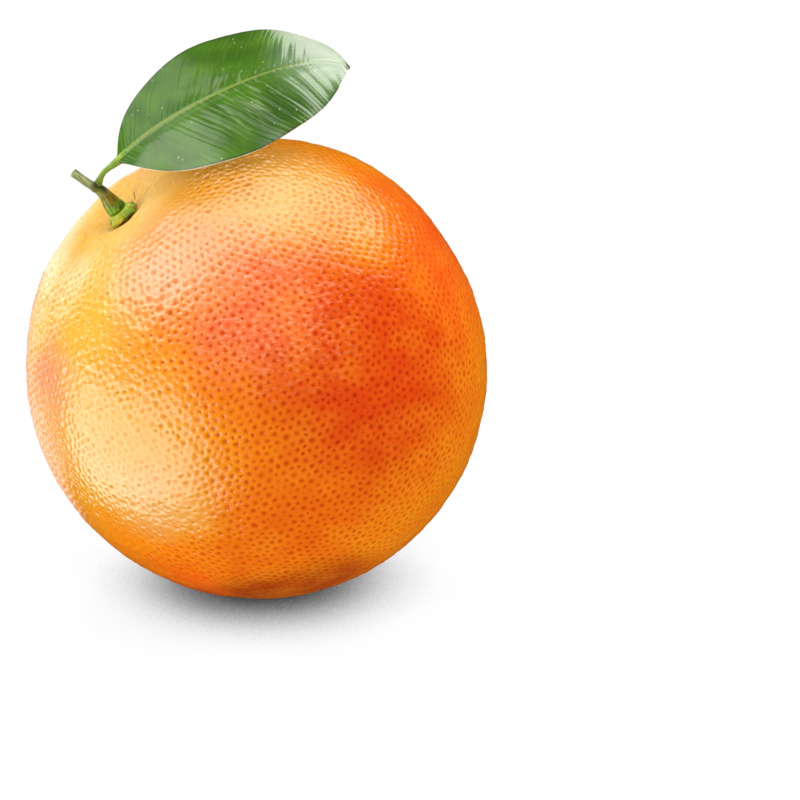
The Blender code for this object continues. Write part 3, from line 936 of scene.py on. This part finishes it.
def make_leaf_material():
    finish, tree, shader = new_material("leaf upper face")
    place = object_place(tree)
    along = attribute(tree, "along")
    out = attribute(tree, "out")
    away = calculate(tree, "ABSOLUTE", out)
    lean = multiply(tree, away, VEIN_LEAN)
    bend = multiply(tree, calculate(tree, "POWER", away, 2.0), VEIN_BEND)
    vein_place = calculate(tree, "SUBTRACT", calculate(tree, "SUBTRACT", along, lean), bend)
    wander = grain(tree, place, 9 * MM, detail=1.0)
    vein_place = multiply_add(tree, wander, VEIN_WANDER, vein_place)
    count = calculate(tree, "DIVIDE", vein_place, VEIN_DISTANCE)
    near = calculate(tree, "PINGPONG", count, 0.5)
    fine_near = calculate(tree, "PINGPONG", multiply(tree, count, 3.0), 0.5)
    vein = step_between(tree, near, 0.03, 0.16, 1.0, 0.0)
    fine_vein = step_between(tree, fine_near, 0.05, 0.25, 1.0, 0.0)
    cloud = grain(tree, place, 7 * MM, detail=3.0)
    colour = blend(tree, step_between(tree, cloud, 0.35, 0.7), LEAF_DARK_GREEN, LEAF_GREEN)
    colour = lay(tree, colour, fine_vein, 0.10, FINE_VEIN_GREEN)
    colour = lay(tree, colour, vein, 0.14, VEIN_GREEN)
    inputs = {0: vein_place, 1: multiply(tree, out, STREAK_SQUEEZE)}
    streak_place = add_node(tree, "ShaderNodeCombineXYZ", inputs).outputs[0]
    streaks = grain(tree, streak_place, 1.2 * MM, detail=1.2)
    # Painted shade over the middle of the blade.
    colour = lay(tree, colour, patch(tree, place, *LEAF_PAINTED_SHADE), 0.8, PAINTED_SHADE_TINT, "MULTIPLY")
    # Painted streaks of sheen along the veins, across the middle of the blade.
    sheen_streaked = patch(tree, place, *LEAF_SHEEN_STREAKS)
    streak = step_between(tree, streaks, 0.53, 0.66, at_high=0.65)
    colour = lay(tree, colour, sheen_streaked, streak, SHEEN_STREAK_GREEN)
    # Painted whitish sheen towards the tip.
    colour = lay(tree, colour, patch(tree, place, *LEAF_TIP_SHEEN), 0.5, TIP_SHEEN_GREEN)
    rib_width = step_between(tree, along, 0.0, 61 * MM, 0.62 * MM, 0.12 * MM)
    rib_share = calculate(tree, "DIVIDE", away, rib_width)
    colour = blend(tree, step_between(tree, rib_share, 0.5, 1.2, 1.0, 0.0), colour, RIB_GREEN)
    margin = step_between(tree, attribute(tree, "edge"), 0.955, 0.99)
    colour = lay(tree, colour, margin, 0.6, MARGIN_BROWN)
    inputs = {"Vector": place, "Scale": 1 / DOT_DISTANCE}
    spot = add_node(tree, "ShaderNodeTexVoronoi", inputs).outputs
    chosen = calculate(tree, "GREATER_THAN", spot["Color"], 0.60)
    dot = step_between(tree, spot["Distance"], 0.06, 0.15, 1.0, 0.0)
    colour = lay(tree, colour, dot, chosen, DOT_GREEN)
    fill_inputs(tree, shader, {
        "Base Color": colour,
        "Roughness": 0.32,
        "Specular IOR Level": 0.0,
        "Coat Weight": 1.0,
        "Coat IOR": 1.9,
        "Coat Roughness": 0.20,
    })
    # The relief is weaker towards the tip.
    height = multiply_add(tree, fine_vein, -0.4, multiply(tree, vein, -0.5))
    height = multiply_add(tree, streaks, 1.1, height)
    height = multiply(tree, height, step_between(tree, along, 32 * MM, 54 * MM, 1.0, 0.2))
    roughen(tree, shader, height, 0.5, 0.10 * MM, coated=True)
    return finish


UNDERSIDE_GREEN = (0.13, 0.27, 0.06)
UNDERSIDE_PALE = (0.19, 0.35, 0.10)
UNDERSIDE_RIB = (0.38, 0.50, 0.16)


def make_leaf_underside_material():
    finish, tree, shader = new_material("leaf underside")
    place = object_place(tree)
    cloud = grain(tree, place, 4 * MM, detail=4.0)
    colour = blend(tree, step_between(tree, cloud, 0.35, 0.7), UNDERSIDE_GREEN, UNDERSIDE_PALE)
    away = calculate(tree, "ABSOLUTE", attribute(tree, "out"))
    rib = step_between(tree, away, 0.5 * MM, 1.0 * MM, 1.0, 0.0)
    colour = blend(tree, rib, colour, UNDERSIDE_RIB)
    fill_inputs(tree, shader, {"Base Color": colour, "Roughness": 0.6})
    roughen(tree, shader, grain(tree, place, 0.7 * MM, detail=3.0), 0.4, 0.08 * MM)
    return finish


leaf.data.materials.append(make_leaf_material())
leaf.data.materials.append(make_leaf_underside_material())
bpy.ops.object.modifier_apply(modifier=thickness.name)
leaf.data.shade_smooth()
leaf.data.set_sharp_from_angle(angle=math.radians(50))
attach(leaf, "root")
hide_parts("leaf_blade")

# The leaf's stalk: a soft green rod that leaves the stem at its knot and widens into the leaf's
# base, where a citrus leaf is jointed.


def under_midrib(t, depth):
    """A point inside the blade, below its midrib."""
    return midrib_point(t) - leaf_axes(t)[2] * depth


# Middle line, and radius in millimetres, from the stem to the leaf.
STALK_STATIONS = (
    (from_centre(-36.3, -10.6, 48.6), 1.02),
    (from_centre(-35.8, -10.7, 49.9), 0.90),
    (from_centre(-35.4, -10.8, 50.8), 0.72),
    (from_centre(-34.6, -10.9, 52.0), 0.64),
    (from_centre(-33.5, -10.9, 53.0), 0.68),
    (from_centre(-32.4, -11.0, 53.8), 0.84),
    (under_midrib(0.004, 0.75 * MM), 0.98),
    (under_midrib(0.04, 0.62 * MM), 0.78),
    (under_midrib(0.09, 0.55 * MM), 0.60),
    (under_midrib(0.16, 0.62 * MM), 0.42),
)


def stalk_relief(share, turn):
    groove = -0.10 * bell(turn_difference(turn, 1.2), 0.5)
    return groove + 0.05 * noise.noise(Vector((math.cos(turn), math.sin(turn), 7 * share)))


stalk = add_rod("leaf_stem", STALK_STATIONS, sides=36, relief=stalk_relief)

STALK_GREEN = (0.17, 0.31, 0.02)
STALK_PALE = (0.32, 0.44, 0.05)
STALK_FOOT_SHADE = (0.07, 0.09, 0.012)


def make_stalk_material():
    finish, tree, shader = new_material("stalk green")
    place = object_place(tree)
    cloud = grain(tree, place, 1.6 * MM, detail=3.0)
    colour = blend(tree, step_between(tree, cloud, 0.35, 0.7), STALK_GREEN, STALK_PALE)
    # Painted shade at the stalk's foot, where it leaves the stem.
    foot = patch(tree, place, STALK_STATIONS[0][0], 2.0 * MM, 0.6, 1 * MM)
    colour = lay(tree, colour, foot, 0.8, STALK_FOOT_SHADE)
    fill_inputs(tree, shader, {"Base Color": colour, "Roughness": 0.4, "IOR": 1.35})
    roughen(tree, shader, grain(tree, place, 0.4 * MM, detail=3.0), 0.3, 0.06 * MM)
    return finish


stalk.data.materials.append(make_stalk_material())
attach(stalk, "root")
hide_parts("leaf_stalk")

# The floor, the light and the camera: a glowing white floor with a painted shadow that darkens it
# only close under the fruit, an even glow from all round, two softboxes, and cards that are only
# seen mirrored in the gloss.

# Shares of the sky that the floor sees where it is darkest and from where on it is white.
FLOOR_DARK = 0.03
FLOOR_WHITE = 0.48


def make_floor_material():
    """A glowing white floor; its painted shadow is only as dark as what stands on it hides the
    light.
    """
    finish, tree, shader = new_material("white floor")
    open_sky = add_node(tree, "ShaderNodeAmbientOcclusion", {"Distance": 1.0}, samples=8)
    fill_inputs(tree, shader, {
        "Base Color": (0.0, 0.0, 0.0, 1.0),
        "Specular IOR Level": 0.0,
        "Emission Color": (1.0, 1.0, 1.0, 1.0),
        "Emission Strength": step_between(tree, open_sky.outputs["AO"], FLOOR_DARK, FLOOR_WHITE),
    })
    return finish


deselect_all()
bpy.ops.mesh.primitive_plane_add(size=8.0)
floor = bpy.context.object
floor.name = "floor"
floor.data.materials.append(make_floor_material())
floor.visible_glossy = False
floor.visible_shadow = False


def heading(azimuth, elevation):
    """A direction in degrees: azimuth is 0 at the front and 90 at the right."""
    azimuth, elevation = math.radians(azimuth), math.radians(elevation)
    level = math.cos(elevation)
    return Vector((math.sin(azimuth) * level, -math.cos(azimuth) * level, math.sin(elevation)))


WARM_WHITE = (1.0, 0.99, 0.95)


def add_panel(name, start, toward, distance, width, height, roll, radiance, lit):
    """A flat glowing panel that faces a point. Only the pieces under lit receive and shade it."""
    bpy.ops.object.light_add(type="AREA", location=start + toward * distance)
    panel = bpy.context.object
    panel.name = name
    spin = Quaternion((0.0, 0.0, 1.0), math.radians(roll))
    panel.rotation_euler = (toward.to_track_quat("Z", "Y") @ spin).to_euler()
    panel.data.shape = "RECTANGLE"
    panel.data.size = width
    panel.data.size_y = height
    panel.data.energy = radiance * math.pi * width * height
    panel.data.color = WARM_WHITE
    panel.visible_camera = False
    reached = bpy.data.collections.new(name)
    for piece in lit:
        reached.objects.link(piece)
    panel.light_linking.receiver_collection = reached
    panel.light_linking.blocker_collection = reached
    return panel


# Softboxes light without being mirrored, and cards are only mirrored. Each card's shape is that of
# the bright patch it leaves on the peel or the leaf. A card: name, heading, size, roll, radiance.
SOFTBOX_DISTANCE = 0.9
CARD_DISTANCE = 0.5
LEAF_MIDDLE = from_centre(-5, -8, 75)
beside_leaf = (fruit, calyx, stem, stalk)
for name, toward, size, radiance in (
    ("softbox overhead", heading(60, 70), (0.72, 0.60), 2.4),
    ("softbox at the left", heading(-90, 0), (0.60, 0.60), 2.5),
):
    light = (*size, 0, radiance, beside_leaf)
    add_panel(name, FRUIT_CENTRE, toward, SOFTBOX_DISTANCE, *light).visible_glossy = False
fruit_cards = (
    ("card low at the left", heading(-66, -22), (0.702, 0.500), -2, 5.5),
    ("card overhead", heading(-129, 83), (1.376, 0.400), -29, 4.3),
    ("strip at the back left", heading(-142, 11), (0.165, 0.717), -67, 1.4),
    ("card at the upper left", heading(-78, 42), (0.400, 0.240), 0, 3.0),
    ("card behind at the left", heading(-140, -17), (0.300, 0.300), 0, 1.2),
    ("card at the far left", heading(-131, 14), (0.300, 0.280), 0, 1.3),
)
leaf_cards = (
    ("card for the far half's tip", heading(167, 2), (0.351, 5.0), 13, 2.9),
    ("card for the near half's tip", heading(92, 38), (0.771, 0.602), -40, 3.7),
    ("card for the leaf's far half", heading(-83, 55), (0.295, 0.500), 56, 0.8),
    ("card for the leaf's near half", heading(-33, 30), (0.492, 0.150), 74, 1.8),
)
for start, lit, cards in (
    (FRUIT_CENTRE, beside_leaf, fruit_cards),
    (LEAF_MIDDLE, (leaf,), leaf_cards),
):
    for name, toward, size, roll, radiance in cards:
        light = (*size, roll, radiance, lit)
        add_panel(name, start, toward, CARD_DISTANCE, *light).visible_diffuse = False

FILL_ABOVE = 1.05
FILL_BELOW = 0.60
MIRRORED_FILL = 0.02
FILL_HEIGHTS = (-0.6, 0.5)  # between these it grows from the lower to the upper value


def light_world():
    """An even glow, weaker from below. Gloss mirrors it faintly, and the camera sees it white."""
    world = bpy.data.worlds.new("studio")
    bpy.context.scene.world = world
    world.use_nodes = True
    tree = world.node_tree
    heading_seen = add_node(tree, "ShaderNodeTexCoord", {}).outputs["Generated"]
    height = add_node(tree, "ShaderNodeSeparateXYZ", {0: heading_seen}).outputs["Z"]
    fill = step_between(tree, height, *FILL_HEIGHTS, FILL_BELOW, FILL_ABOVE)
    rays = add_node(tree, "ShaderNodeLightPath", {}).outputs
    glossy = rays["Is Glossy Ray"]
    unmirrored_fill = multiply(tree, fill, multiply_add(tree, glossy, -1.0, 1.0))
    faint = multiply_add(tree, glossy, MIRRORED_FILL, unmirrored_fill)
    strength = calculate(tree, "MAXIMUM", faint, rays["Is Camera Ray"])
    inputs = {"Color": (1.0, 1.0, 1.0, 1.0), "Strength": strength}
    fill_inputs(tree, tree.nodes["Background"], inputs)


light_world()
bpy.context.scene.view_settings.view_transform = "Standard"

CAMERA_DISTANCE = 543.95 * MM
CAMERA_ELEVATION = math.radians(18)
CAMERA_TILT = math.radians(90 - 18.842)  # from looking straight down
CAMERA_PAN = math.radians(-3.8389)  # to the right
back = Vector((0.0, -math.cos(CAMERA_ELEVATION), math.sin(CAMERA_ELEVATION)))
bpy.ops.object.camera_add(location=FRUIT_CENTRE + back * CAMERA_DISTANCE)
camera = bpy.context.object
camera.rotation_euler = (CAMERA_TILT, 0.0, CAMERA_PAN)
camera.data.lens = 100
camera.data.sensor_width = 36
bpy.context.scene.camera = camera
